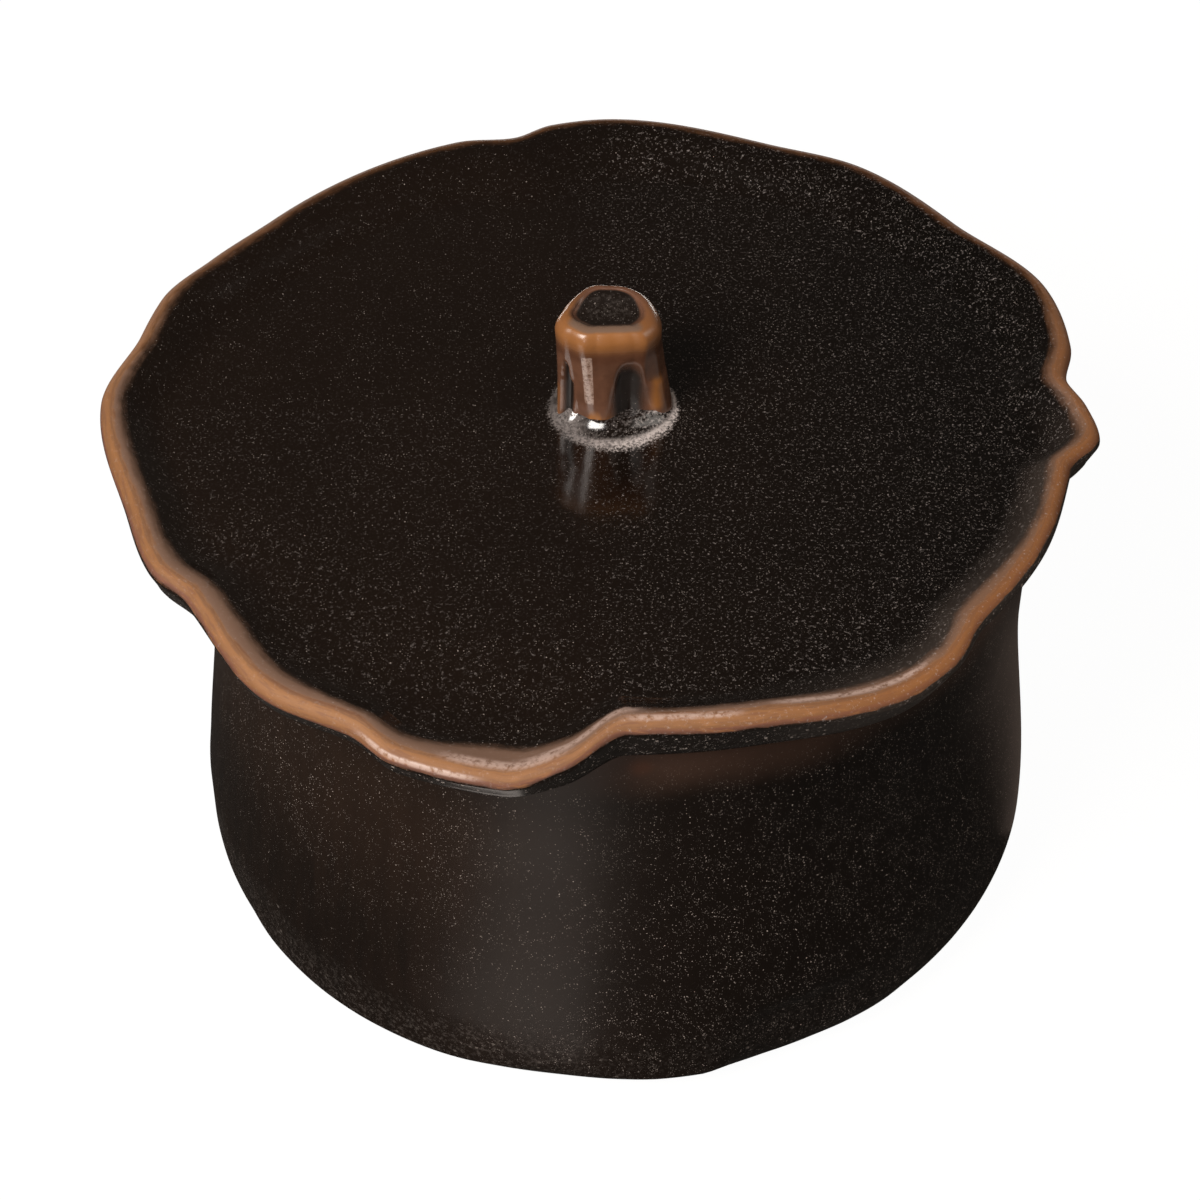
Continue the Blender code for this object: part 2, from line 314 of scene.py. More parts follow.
class StudioSettings(bpy.types.PropertyGroup):
    background: colour_setting(
        "Background", "Colour that the camera sees behind the jar", (1.0, 1.0, 1.0)
    )
    floor: colour_setting("Floor", "Colour of the floor", (0.06, 0.056, 0.052))
    lens: FloatProperty(name="Lens", description="Focal length in millimetres", default=94.4)
    pitch: FloatProperty(
        name="Camera pitch",
        description="How far the camera looks down",
        default=radians(44.32),
        subtype="ANGLE",
    )


class LeafJarSettings(bpy.types.PropertyGroup):
    jar: PointerProperty(type=JarSizes)
    lid: PointerProperty(type=LidSizes)
    knob: PointerProperty(type=KnobSizes)
    glaze: PointerProperty(type=GlazeColours)
    studio: PointerProperty(type=StudioSettings)


def hermite(share, low, high, low_slope, high_slope, width):
    """Cubic value between two knots that are width apart."""
    square = share * share
    cube = square * share
    value = low * (2 * cube - 3 * square + 1) + high * (3 * square - 2 * cube)
    return value + width * (low_slope * (cube - 2 * square + share) + high_slope * (cube - square))


def closed_curve(knots, column):
    """Function of a direction in degrees that runs smoothly through one column of the knots."""
    places = [knot[0] for knot in knots]
    values = [knot[column] for knot in knots]
    count = len(knots)
    gaps = [(places[(i + 1) % count] - places[i]) % 360 for i in range(count)]
    rates = [(values[(i + 1) % count] - values[i]) / gaps[i] for i in range(count)]
    slopes = []
    for i in range(count):
        before, after = rates[i - 1], rates[i]
        if before * after <= 0:
            slopes.append(0.0)
            continue
        outer, inner = gaps[i] + 2 * gaps[i - 1], 2 * gaps[i] + gaps[i - 1]
        slopes.append((outer + inner) / (outer / before + inner / after))

    def value(direction):
        direction = direction % 360
        i = bisect_right(places, direction) - 1
        share = ((direction - places[i]) % 360) / gaps[i]
        following = (i + 1) % count
        return hermite(share, values[i], values[following], slopes[i], slopes[following], gaps[i])

    return value


LEAF_REACH = closed_curve(LEAF_EDGE, 1)
LEAF_RISE = closed_curve(LEAF_EDGE, 2)
LEAF_UNDERCUT = closed_curve(LEAF_EDGE, 3)
KNOB_FOOT = closed_curve(KNOB_OUTLINE, 1)
KNOB_TOP = closed_curve(KNOB_OUTLINE, 2)
FULLNESS = closed_curve(CORNER_FULLNESS, 1)
SLOPE_WIDTH = closed_curve(LIP_GLAZE, 1)
AMBER_INWARDS = closed_curve(LIP_GLAZE, 2)
AMBER_OUTWARDS = closed_curve(LIP_GLAZE, 3)


def clamped(value):
    return min(max(value, 0.0), 1.0)


def ease(share):
    """Smooth step from 0 to 1."""
    share = clamped(share)
    return share * share * (3 - 2 * share)


def tinted(colour, *shares):
    """A colour with its channels multiplied, each by its own share or all by the same one."""
    if len(shares) == 1:
        shares = shares * 3
    return tuple(channel * share for channel, share in zip(colour, shares))


def arc(centre, radii, start, end, steps):
    """Points on a quarter of an ellipse or less, from one direction in degrees to another."""
    points = []
    for step in range(steps + 1):
        angle = radians(start + (end - start) * step / steps)
        points.append((centre[0] + radii[0] * cos(angle), centre[1] + radii[1] * sin(angle)))
    return points


def line(start, end, steps):
    """Points along a straight stretch, without its end."""
    return [
        (start[0] + (end[0] - start[0]) * i / steps, start[1] + (end[1] - start[1]) * i / steps)
        for i in range(steps)
    ]


def direction_of(x, y):
    return degrees(atan2(y, x))


def turned(points, steps, place=None):
    """Mesh turned from a section of (radius, height) points, on the Z axis.

    place gives a number for each point of the section, which is kept as the attribute "place"."""
    bm = bmesh.new()
    layer = bm.verts.layers.float.new("place")
    section = [bm.verts.new((radius, 0.0, height)) for radius, height in points]
    for i, vertex in enumerate(section):
        vertex[layer] = place[i] if place else 0.0
    edges = [bm.edges.new(pair) for pair in zip(section, section[1:])]
    axis = {"cent": (0, 0, 0), "axis": (0, 0, 1)}
    # A sector of a sixteenth, doubled four times, is far quicker than a spin all the way round
    bmesh.ops.spin(bm, geom=section + edges, angle=pi / 8, steps=steps // 16, **axis)
    for angle in (pi / 8, pi / 4, pi / 2, pi):
        copied = bmesh.ops.duplicate(bm, geom=bm.verts[:] + bm.edges[:] + bm.faces[:])["geom"]
        corners = [item for item in copied if isinstance(item, bmesh.types.BMVert)]
        bmesh.ops.rotate(bm, verts=corners, cent=(0, 0, 0), matrix=Matrix.Rotation(angle, 3, "Z"))
    bmesh.ops.remove_doubles(bm, verts=bm.verts, dist=0.000002)
    return bm


def finished(bm, name, material, body, nodes):
    """Closes a piece: normals outwards, smooth shading, material, and its place in the frame."""
    bmesh.ops.recalc_face_normals(bm, faces=bm.faces)
    for face in bm.faces:
        face.smooth = True
    mesh = bpy.data.meshes.new(name)
    bm.to_mesh(mesh)
    bm.free()
    mesh.materials.append(material)
    piece = bpy.data.objects.new(name, mesh)
    bpy.context.scene.collection.objects.link(piece)
    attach(piece, body)
    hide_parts(*nodes)


class Wire:
    """One output of a material's nodes. Sums and products of wires add Math nodes."""

    def __init__(self, bench, socket):
        self.bench = bench
        self.socket = socket

    def maths(self, operation, first, second=None):
        values = {0: first} if second is None else {0: first, 1: second}
        return self.bench.add("ShaderNodeMath", values, {"operation": operation})

    def __add__(self, other):
        return self.maths("ADD", self, other)

    def __sub__(self, other):
        return self.maths("SUBTRACT", self, other)

    def __rsub__(self, other):
        return self.maths("SUBTRACT", other, self)

    def __mul__(self, other):
        return self.maths("MULTIPLY", self, other)

    def __truediv__(self, other):
        return self.maths("DIVIDE", self, other)

    __radd__ = __add__
    __rmul__ = __mul__

    def most(self, other):
        return self.maths("MAXIMUM", self, other)

    def least(self, other):
        return self.maths("MINIMUM", self, other)

    def step(self, low, high):
        """0 below low, 1 above high, and smooth between them. It falls where low is above high."""
        ranges = {"Value": self, "From Min": low, "From Max": high}
        return self.bench.add("ShaderNodeMapRange", ranges, {"interpolation_type": "SMOOTHSTEP"})


class Bench:
    """The nodes of a new material or world, whose shader node is there from the start."""

    def __init__(self, owner, shader="Principled BSDF"):
        owner.use_nodes = True
        self.owner = owner
        self.tree = owner.node_tree
        self.shader = self.tree.nodes[shader]
        self.objects = self.add("ShaderNodeTexCoord", out="Object")

    def add(self, kind, inputs=None, settings=None, out=0):
        """A node of one kind, its settings first, then the values or wires of its sockets."""
        node = self.tree.nodes.new(kind)
        for name, value in (settings or {}).items():
            if name == "stops":
                self.fill_ramp(node.color_ramp, value)
            else:
                setattr(node, name, value)
        for name, value in (inputs or {}).items():
            self.plug(node.inputs[name], value)
        return Wire(self, node.outputs[out])

    def fill_ramp(self, ramp, stops):
        while len(ramp.elements) < len(stops):
            ramp.elements.new(0.5)
        for element, (position, colour) in zip(ramp.elements, stops):
            element.position = position
            element.color = (*colour, 1.0)

    def plug(self, socket, value):
        if isinstance(value, Wire):
            self.tree.links.new(value.socket, socket)
        elif hasattr(value, "__len__") and len(value) == 3 and socket.type == "RGBA":
            socket.default_value = (*value, 1.0)
        else:
            socket.default_value = value

    def mixed(self, share, first, second):
        """Colour between two colours."""
        inputs = {0: share, 6: first, 7: second}
        return self.add("ShaderNodeMix", inputs, {"data_type": "RGBA"}, out=2)

    def scaled(self, colour, share):
        """A colour made darker or paler by a share."""
        inputs = {0: colour, "Scale": share}
        return self.add("ShaderNodeVectorMath", inputs, {"operation": "SCALE"}, out="Vector")

    def vector(self, operation, *values, out="Vector"):
        """A Vector Math node on one, two or three vectors."""
        settings = {"operation": operation}
        return self.add("ShaderNodeVectorMath", dict(enumerate(values)), settings, out)

    def ramp(self, share, stops):
        return self.add("ShaderNodeValToRGB", {"Fac": share}, {"stops": stops}, out="Color")

    def grain(self, scale, detail=2.0, roughness=0.5, at=None):
        """Soft noise from 0 to 1; scale is in lumps a metre."""
        inputs = {"Scale": scale, "Detail": detail, "Roughness": roughness}
        inputs["Vector"] = at or self.objects
        return self.add("ShaderNodeTexNoise", inputs, out=0)

    def dots(self, scale, size, share):
        """Round specks: cells of 1 / scale metres, some of which hold a speck of its own size."""
        inputs = {"Scale": scale, "Vector": self.objects}
        cells = self.add("ShaderNodeTexVoronoi", inputs, out="Distance")
        luck = Wire(self, cells.socket.node.outputs["Color"])
        parts = self.add("ShaderNodeSeparateColor", {"Color": luck}, out="Red")
        bright = Wire(self, parts.socket.node.outputs["Green"])
        reach = size * (0.45 + 0.55 * bright)
        speck = (reach - cells).step(0.0, 0.4 * size)
        return speck * (parts + share).step(1.0, 1.1) * (0.2 + 0.8 * bright * bright)

    def along(self, axis):
        """Object coordinate along one axis, in metres."""
        return self.add("ShaderNodeSeparateXYZ", {"Vector": self.objects}, out=axis)

    def painted(self, name):
        """A value that the piece's mesh carries at its points."""
        return self.add("ShaderNodeAttribute", settings={"attribute_name": name}, out="Fac")

    def bump(self, height, strength, distance, under=None):
        inputs = {"Height": height, "Strength": strength, "Distance": distance}
        if under:
            inputs["Normal"] = under
        return self.add("ShaderNodeBump", inputs, out="Normal")

    def finish(self, **sockets):
        """Plugs the shader's own sockets, named with underscores for spaces."""
        for name, value in sockets.items():
            self.plug(self.shader.inputs[name.replace("_", " ")], value)
        return self.owner


def dark_glaze(bench, colours, crowd, ground=1.0, cover=1.0, bright=1.0):
    """Colour, roughness and height of the speckled dark iron glaze.

    crowd is how many of the cells hold a speck, from 0 to 1. ground and bright are how light the
    glaze and its specks are, and cover is how far a speck hides the glaze under it."""
    cloud = bench.grain(28.0, 3.0, 0.55)
    clumps = bench.grain(330.0, 2.0, 0.6).step(0.34, 0.66)
    share = (crowd * (0.35 + 0.9 * clumps)).least(0.97)
    specks = bench.dots(1300.0, 0.17, share * 0.6)
    for scale, size, strength in ((2100.0, 0.22, 1.0), (3000.0, 0.25, 0.85), (4100.0, 0.30, 0.65)):
        specks = specks.most(bench.dots(scale, size, share) * strength)
    # Painted light: the glaze is lighter towards the left, besides its random cloudy tone
    left = bench.along("X").step(0.05, -0.05)
    ground = ((left * 0.7 + cloud.step(0.3, 0.75) * 0.3).least(1.0) * 1.7 + 1.0) * ground
    ground = bench.scaled(colours.dark, ground)
    colour = bench.mixed(specks * cover, ground, tinted(colours.speckle, bright))
    rough = 0.11 + 0.05 * cloud + 0.34 * specks
    height = specks * 0.5 + bench.grain(2600.0, 2.0, 0.6) * 0.06
    return colour, rough, height


def jar_glaze(colours):
    """Dark glaze of the jar, satin, brownish under the lid and crusted at the lower left corner."""
    bench = Bench(bpy.data.materials.new("Speckled dark jar glaze"))
    # Millimetres down from the rim's top
    place = bench.painted("place")
    side = bench.along("X")
    right = side.step(-0.01, 0.05)
    left = side.step(0.010, -0.035)
    ragged = place + (bench.grain(240.0, 3.0) - 0.5) * 8.0
    crust = ragged.step(55.0, 61.0) * (0.45 + 0.55 * side.step(0.006, -0.022))
    crowd = 0.46 + 0.32 * right + 0.28 * bench.grain(50.0, 2.0).step(0.35, 0.65) + 0.3 * crust
    cover = 0.52 + 0.45 * right + 0.40 * side.step(-0.028, -0.048)
    # Painted light: the glaze between the specks is lighter still towards the left
    colour, rough, height = dark_glaze(bench, colours, crowd, 0.85 + 0.95 * left, cover, 2.9)

    # Darker runs down the wall, and painted shade over its lower left
    runs = bench.grain(420.0, 4.0, 0.6, bench.vector("MULTIPLY", bench.objects, (1, 1, 0.12)))
    lower_left_shade = place.step(22.0, 50.0) * side.step(-0.002, -0.036)
    lower_left_shade = (place.step(50.0, 67.0) * left).most(lower_left_shade)
    colour = bench.mixed(runs.step(0.3, 0.7) * 0.22 + lower_left_shade * 0.72, colour, colours.dark)
    grit = bench.dots(950.0, 0.36, crust * 0.45) * 0.42
    grit = grit.most(bench.grain(1500.0, 3.0, 0.7).step(0.48, 0.68) * crust * 0.14)
    colour = bench.mixed(grit, colour, colours.speckle)

    # Browner under the lid, and rust where the glaze thins over the rim and at one small spot
    brown = (place + (bench.grain(60.0, 2.0) - 0.5) * 6.0).step(14.0, 4.0) * side.step(-0.02, 0.005)
    colour = bench.mixed(brown * 0.8, colour, BROWN_UNDER_LID)
    rim = (place + (bench.grain(260.0, 3.0) - 0.5) * 1.6).step(1.4, 0.3)
    spot = bench.vector("DISTANCE", bench.objects, THIN_SPOT, out="Value").step(0.0023, 0.0003)
    colour = bench.mixed(rim.most(spot * 0.40), colour, colours.rust)
    waves = bench.bump(bench.grain(70.0, 2.0), 0.25, 0.0006)
    normal = bench.bump(height + grit * 5.0, 0.35, CRYSTAL_RELIEF, waves)
    return bench.finish(
        Base_Color=colour, Roughness=rough + 0.30, Normal=normal, Specular_IOR_Level=0.29
    )


def lip_colour(bench, colours, outer, strands, wander, right):
    """Colour of the thin glaze across the lip, rust at its outer end, amber, brown, then mauve; with
    painted shade and sheen.
    """
    amber, rust = colours.amber, colours.rust
    back = bench.along("Y").step(-0.005, 0.045)
    stops = [
        (0.0, tinted(rust, 0.45)),
        (0.06, tinted(rust, 0.8)),
        (0.11, tinted(rust, 1.25)),
        (0.17, tinted(amber, 0.85)),
        (0.28, amber),
        (0.46, tinted(amber, 1.12, 1.17, 1.22)),
        (0.68, tinted(amber, 0.80, 0.74, 0.95)),
    ]
    band = bench.ramp(outer / 6.0, stops)
    band = bench.mixed(strands.step(0.50, 0.36) * 0.75, band, bench.mixed(0.55, band, rust))
    band = bench.mixed(strands.step(0.54, 0.68) * 0.6, band, tinted(amber, 1.25))
    band = bench.mixed(right * 0.5, band, LIP_ORANGE)
    # Painted shade: the lip is darker towards the back
    band = bench.mixed(back * 0.62, band, tinted(rust, 0.42))

    # The inner half is mauve, glaze colour and partly a painted sheen, with a thin brown line between
    # it and the amber
    middle = bench.painted("place") + (strands - 0.5) * 2.0 + wander * 0.5
    soft = (1.0 - 0.3 * right) * (1.0 - back)
    seam = middle.step(-0.65, -0.3) * middle.step(0.1, -0.25) * soft
    mauve = tinted(amber, 0.78, 1.05, 2.35)
    # Painted shade: the mauve is darker towards the right
    mauve = bench.mixed(right, mauve, tinted(mauve, 0.72))
    band = bench.mixed(middle.step(-0.25, 0.35) * soft, band, mauve)
    return bench.mixed(seam * 0.55, band, LIP_SEAM)


def knob_frost_and_highlight(bench, ripple):
    """How thickly pale crystals cover the glaze round the knob, and their ring, partly painted
    highlight.
    """
    side = bench.along("X")
    pool = bench.painted("pool")
    crystals = bench.grain(2300.0, 3.0, 0.7)
    ring = (pool + (crystals - 0.5) * 0.9 + ripple * 0.3).step(0.05, 0.42) * pool.step(0.74, 0.46)
    frost_and_highlight = ring * (0.25 + 0.75 * crystals.step(0.36, 0.60))
    # Painted highlight: the ring is brighter towards the right
    frost_and_highlight = frost_and_highlight * (0.20 + 0.80 * side.step(-0.009, 0.003))
    # Nearer the knob they are thinly strewn, most of all at its right
    strewn = pool.step(0.2, 0.6) * crystals.step(0.46, 0.66) * (0.12 + 0.4 * side.step(0.0, 0.006))
    # At the left front a thin film of them reaches from the ring to the knob
    film = side.step(-0.0030, -0.0065) * bench.along("Y").step(0.0015, -0.0020)
    film = film * (pool + (crystals - 0.5) + ripple * 0.4).step(0.05, 0.40)
    film = film * (0.10 + 0.22 * crystals.step(0.35, 0.60))
    return frost_and_highlight.most(strewn).most(film), ring


def lid_glaze(colours):
    """Dark glaze of the leaf, amber over its lip, frosted round the knob with crystals and painted
    highlight.
    """
    bench = Bench(bpy.data.materials.new("Leaf glaze breaking to amber"))
    side, depth = bench.along("X"), bench.along("Y")
    wander = (bench.grain(110.0, 3.0, 0.55) - 0.5) * 0.9
    ripple = (bench.grain(800.0, 3.0, 0.6) - 0.5) * 0.5
    # Noise drawn out along the lip: long ways round the knob, short ways across the lip
    flat = bench.vector("MULTIPLY", bench.objects, (1, 1, 0))
    across = bench.add("ShaderNodeCombineXYZ", {"Z": bench.painted("place") * 2.0})
    round_lid = bench.vector("NORMALIZE", flat)
    drawn = bench.vector("MULTIPLY_ADD", round_lid, (20.0, 20.0, 0.0), across)
    strands = bench.grain(1.0, 4.0, 0.62, drawn)

    # Millimetres from the amber's outer end, inwards, and from its inner end, outwards
    outer_end, inner_end = bench.painted("amber_outer"), bench.painted("amber_inner")
    outer = outer_end + wander * 0.4 + ripple * 0.4 + (strands - 0.5) * 0.8
    inner = inner_end + wander + ripple * 1.2 + (strands - 0.5) * 1.2
    right = side.step(0.010, 0.050)
    drift = bench.grain(13.0, 2.0, 0.5).step(0.35, 0.7)
    radius = bench.vector("LENGTH", flat, out="Value")
    crowd = 0.24 + 0.22 * drift + 0.34 * right + 0.16 * radius.step(0.035, 0.058) * right
    crowd = crowd + depth.step(-0.018, -0.050) * 0.14
    crowd = crowd.most(radius.step(0.0150, 0.0085) * 0.75)
    # Painted shade: the glaze is darker towards the right, and its specks hide less of it there
    ground, cover = 0.72 - 0.36 * right, 0.92 - 0.3 * right
    colour, rough, height = dark_glaze(bench, colours, crowd, ground, cover)

    # Painted sheen: a pale haze inside the lip at the right front
    painted_sheen = (inner_end + wander * 2.0).step(-5.0, -0.4)
    painted_sheen = painted_sheen * side.step(0.012, 0.036) * depth.step(0.002, -0.018)
    colour = bench.mixed(painted_sheen * 0.42, colour, PAINTED_SHEEN_TONE)
    haze_specks = bench.dots(1600.0, 0.30, painted_sheen * 0.9) * 0.8
    colour = bench.mixed(haze_specks, colour, colours.speckle)
    # Coarser grit on the plate's side, below the amber
    wall = outer.step(-0.1, -0.6)
    grit = bench.dots(1000.0, 0.30, wall * 0.7).most(bench.dots(1700.0, 0.32, wall * 0.8))
    colour = bench.mixed(grit, colour, tinted(colours.speckle, 1.3))

    thin = outer.step(0.0, 0.25) * inner.step(-0.7, 1.3)
    lip = lip_colour(bench, colours, outer, strands, wander, right)
    colour = bench.mixed(thin, colour, lip)
    frost_and_highlight, ring = knob_frost_and_highlight(bench, ripple)
    # Pale crystals round the knob, partly a painted highlight
    colour = bench.mixed(frost_and_highlight, colour, colours.frost_and_highlight)
    # Painted highlight: a paler line along stretches of the crest
    crest = bench.painted("pale_crest") * bench.grain(1300.0, 3.0, 0.65).step(0.28, 0.58)
    colour = bench.mixed(crest * 0.8, colour, CREST_HIGHLIGHT_TONE)

    rough = rough * (1.0 - thin) + thin * (0.74 - 0.4 * crest)
    rough = rough + ring * 0.22 + wall * 0.08 + painted_sheen * 0.22
    height = height * (1.0 - 0.8 * thin) + frost_and_highlight * 0.6 + grit
    waves = bench.bump(bench.grain(150.0, 2.0), 0.18, 0.0004)
    normal = bench.bump(height, 0.35, CRYSTAL_RELIEF, waves)
    return bench.finish(
        Base_Color=colour, Roughness=rough, Normal=normal, Specular_IOR_Level=0.70
    )


def knob_glaze(colours):
    """Brown glaze on the knob's ridges, amber on its rim and feet, dark in its hollows and dish."""
    bench = Bench(bpy.data.materials.new("Knob glaze, amber on the ridges"))
    # Below 0 in the dish, 1 on the crest of the rim, 2 at its outer end and more down the stem
    place = bench.painted("place")
    dish = bench.painted("dish")
    middle = (place + (bench.grain(700.0, 2.0) - 0.5) * 2.0).step(-1.2, -3.2)
    colour, rough, height = dark_glaze(bench, colours, 0.25 + 0.45 * dish)
    crystals = bench.grain(2100.0, 3.0, 0.7)
    grit = bench.grain(1500.0, 3.0, 0.7).step(0.44, 0.66) * dish * (0.02 + 0.10 * middle)
    colour = bench.mixed(grit, colour, colours.speckle)
    ripple = (bench.grain(500.0, 3.0, 0.6) - 0.5) * 0.5
    hollow = (bench.painted("hollow") + ripple * 0.5).step(0.08, 0.80)
    amber = bench.painted("amber") * (1.0 + ripple * 1.6)
    # Painted highlight: the pale grainy strip down the stem's front left
    ash = (bench.painted("ash") + ripple * 0.5).step(0.3, 0.7) * crystals.step(0.25, 0.62)
    # Painted highlight along the rim's inner edge, in front
    bevel = (bench.painted("bevel") + ripple * 0.4).step(0.3, 0.8)
    streaks = bench.grain(320.0, 3.0, 0.6).step(0.3, 0.75)
    browner = tinted(colours.rust, 1.02, 1.32, 1.65)
    ridge = bench.mixed(streaks, browner, tinted(browner, 0.70))
    ridge = bench.mixed(amber, ridge, tinted(colours.amber, 1.20, 1.18, 1.22))
    rim = place + ripple * 1.4
    seam = rim.step(2.1, 2.7) * rim.step(3.5, 2.9)
    ridge = bench.mixed(seam * 0.5, ridge, tinted(colours.rust, 0.5))
    ridge = bench.mixed(bevel * 0.8, ridge, RIM_HIGHLIGHT_TONE)
    ridge = bench.mixed(ash, ridge, STEM_HIGHLIGHT_TONE)
    colour = bench.mixed(hollow, ridge, colour)
    rough = 0.11 + 0.20 * place.step(3.2, 2.0) + 0.30 * hollow - 0.25 * dish
    normal = bench.bump(height * hollow, 0.35, CRYSTAL_RELIEF)
    return bench.finish(
        Base_Color=colour, Roughness=rough, Normal=normal, Specular_IOR_Level=0.65
    )


def bare_clay(colours):
    """Fired clay with turning marks and dark and pale grog."""
    bench = Bench(bpy.data.materials.new("Bare fired clay"))
    flat = bench.vector("MULTIPLY", bench.objects, (1, 1, 0))
    radius = bench.vector("LENGTH", flat, out="Value")
    rings = bench.add(
        "ShaderNodeTexNoise",
        {"W": radius * 900.0 + bench.grain(40.0) * 1.5, "Scale": 1.0, "Detail": 2.0},
        {"noise_dimensions": "1D"},
    )
    cloud = bench.grain(60.0, 4.0, 0.6)
    pale = tuple(min(channel, 1.0) for channel in tinted(colours.clay, 1.7))
    colour = bench.mixed(cloud.step(0.3, 0.7), colours.clay, tinted(colours.clay, 1.3))
    colour = bench.mixed(bench.dots(900.0, 0.3, 0.25) * 0.8, colour, tinted(colours.clay, 0.45))
    colour = bench.mixed(bench.dots(1500.0, 0.3, 0.25) * 0.7, colour, pale)
    height = rings * 0.7 + bench.grain(1800.0, 3.0, 0.6) * 0.5
    normal = bench.bump(height, 0.5, 0.00012)
    return bench.finish(Base_Color=colour, Roughness=0.78 + 0.15 * cloud, Normal=normal)


def jar_wall_radius(height, sizes):
    """Outer radius of the jar's wall between its belly and its rim."""
    rim = JAR_HIGH.x - sizes.belly_spread
    belly_height = JAR_LOW.z + sizes.corner
    share = (height - belly_height) / (JAR_HIGH.z - belly_height)
    waist, belly = rim - sizes.waist_inset, rim + sizes.belly_spread
    if share < sizes.waist_share:
        return belly + (waist - belly) * ease(share / sizes.waist_share)
    flare = (share - sizes.waist_share) / (1.0 - sizes.waist_share)
    return waist + (rim - waist) * flare * flare


class LEAFJAR_OT_pot(bpy.types.Operator):
    """Throws the jar: floor, wall, rim and rounded lower corner, glazed inside and out"""

    bl_idname = "leafjar.pot"
    bl_label = "Jar"

    def execute(self, context):
        sizes = context.scene.leaf_jar.jar
        rounding, inner_corner = 0.0014, 0.0080
        rim = JAR_HIGH.x - sizes.belly_spread
        mouth = rim - sizes.wall
        floor = JAR_LOW.z + sizes.floor
        rim_low = JAR_HIGH.z - rounding
        belly = JAR_LOW.z + sizes.corner
        inner_low = floor + inner_corner
        inner_foot = jar_wall_radius(inner_low, sizes) - sizes.wall - inner_corner
        # Rows of points up the wall, inside and outside
        steps = 44

        points = line((0.0, floor), (inner_foot, floor), 14)
        points += arc((inner_foot, inner_low), (inner_corner, inner_corner), -90, 0, 12)[:-1]
        for i in range(steps):
            height = inner_low + (rim_low - inner_low) * i / steps
            points.append((jar_wall_radius(height, sizes) - sizes.wall, height))
        points += arc((mouth + rounding, rim_low), (rounding, rounding), 180, 90, 6)
        points += arc((rim - rounding, rim_low), (rounding, rounding), 90, 0, 6)
        for i in range(steps - 1, -1, -1):
            height = belly + (rim_low - belly) * i / steps
            points.append((jar_wall_radius(height, sizes), height))
        corner = (jar_wall_radius(belly, sizes) - sizes.corner, belly)
        points += arc(corner, (sizes.corner, sizes.corner), 0, -90, 20)[1:]
        points += line(points[-1], (0.0, JAR_LOW.z), 8)[1:] + [(0.0, JAR_LOW.z)]
        # Place: millimetres down from the rim's top, for the glaze that thins there
        place = [abs(height - JAR_HIGH.z) * 1000 for _, height in points]

        bm = turned(points, 288, place)
        for vertex in bm.verts:
            vertex.co = self.worked(vertex.co, sizes)
        glaze = jar_glaze(context.scene.leaf_jar.glaze)
        finished(bm, "glazed_jar", glaze, "jar", ["jar_body"])
        return {"FINISHED"}

    def worked(self, point, sizes):
        """A turned point with the unevenness of handwork, and the corner fuller or fainter."""
        radius = hypot(point.x, point.y)
        if radius < 0.001:
            return point
        # How much of the corner's fullness a height takes: none at the bottom, and none from 2.6
        # times the corner's radius upwards
        height = (point.z - JAR_LOW.z) / sizes.corner
        low = ease(height) * ease(2.6 - height)
        inside_wall = jar_wall_radius(max(point.z, JAR_LOW.z), sizes) - sizes.wall * 0.6
        corner = 0.0
        if radius > inside_wall:
            # The corner grows square to its slope, by three quarters each way
            corner = 0.75 * FULLNESS(direction_of(point.x, point.y)) * low
        # The unevenness has waves some 4 cm long, and fades out 6 mm below the rim's top
        wobble = noise.noise(Vector((point.x * 26, point.y * 26, point.z * 40 + 3.0)))
        dip = sizes.unevenness * (0.5 + 0.5 * wobble) * ease((JAR_HIGH.z - point.z) / 0.006)
        widest = JAR_HIGH.x - 0.00005
        scale = min(radius - dip + corner, widest) / radius
        return Vector((point.x * scale, point.y * scale, max(point.z - corner, JAR_LOW.z)))


class LEAFJAR_OT_foot(bpy.types.Operator):
    """Trims the foot: a low disc of bare clay under the jar"""

    bl_idname = "leafjar.foot"
    bl_label = "Foot"

    def execute(self, context):
        radius, bottom, top = FOOT_HIGH.x, FOOT_LOW.z, JAR_LOW.z
        rounding, shoulder, bevel = 0.0006, 0.0002, 0.0003
        points = line((0.0, top), (radius - shoulder, top), 6)
        points += [(radius - shoulder, top), (radius, top - bevel)]
        points += arc((radius - rounding, bottom + rounding), (rounding, rounding), 0, -90, 6)
        points += [(radius * (1 - i / 12), bottom) for i in range(1, 13)]
        bm = turned(points, 240)
        material = bare_clay(context.scene.leaf_jar.glaze)
        finished(bm, "clay_foot", material, "jar", ["foot"])
        return {"FINISHED"}


